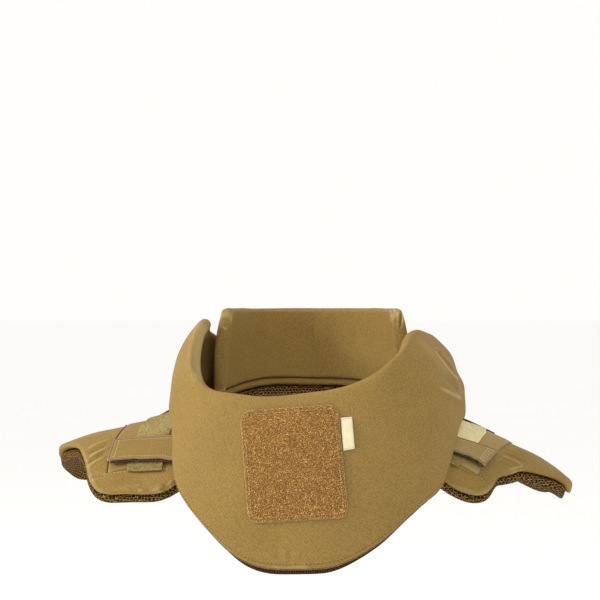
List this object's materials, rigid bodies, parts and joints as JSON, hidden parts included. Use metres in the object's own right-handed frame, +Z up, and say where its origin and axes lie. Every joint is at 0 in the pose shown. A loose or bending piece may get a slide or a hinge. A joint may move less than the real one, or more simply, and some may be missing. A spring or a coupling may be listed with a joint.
{
  "type": "ballistic gorget",
  "caption": "Padded throat, neck and shoulder guard of coyote-brown cloth: a front collar with a loop badge panel, a back collar and a winged yoke with a mesh lining.",
  "frame": {"origin": "centre of the neck at the height of the shoulders, where the guard sits when worn", "axes": "+X towards the wearer's left, -Y towards the throat and chest, +Z up"},
  "size_m": [0.386, 0.2388, 0.1816],
  "materials": {
    "coyote_nylon": "tight plain-weave nylon, matt with a faint sheen",
    "spacer_mesh": "open knitted spacer mesh, dark brown holes and lighter ridges",
    "loop_pile": "fuzzy hook-and-loop pile, orange brown",
    "cream_label": "bare woven label tape",
    "khaki_webbing": "ribbed loop webbing, light khaki",
    "hook_tape": "dark hook tape"
  },
  "bodies": {
    "root": {"front_collar": "coyote_nylon", "collar_lining": "spacer_mesh", "back_collar": "coyote_nylon", "yoke_cover": "coyote_nylon", "yoke_mesh": "spacer_mesh", "loop_patch": "loop_pile", "label_tab": "cream_label", "strap_panel_left": "coyote_nylon", "strap_panel_right": "coyote_nylon", "loop_webbing_left": "khaki_webbing", "loop_webbing_right": "khaki_webbing", "hook_flap_left": "coyote_nylon", "hook_flap_right": "coyote_nylon", "hook_tape_left": "hook_tape", "hook_tape_right": "hook_tape"}
  },
  "joints": []
}
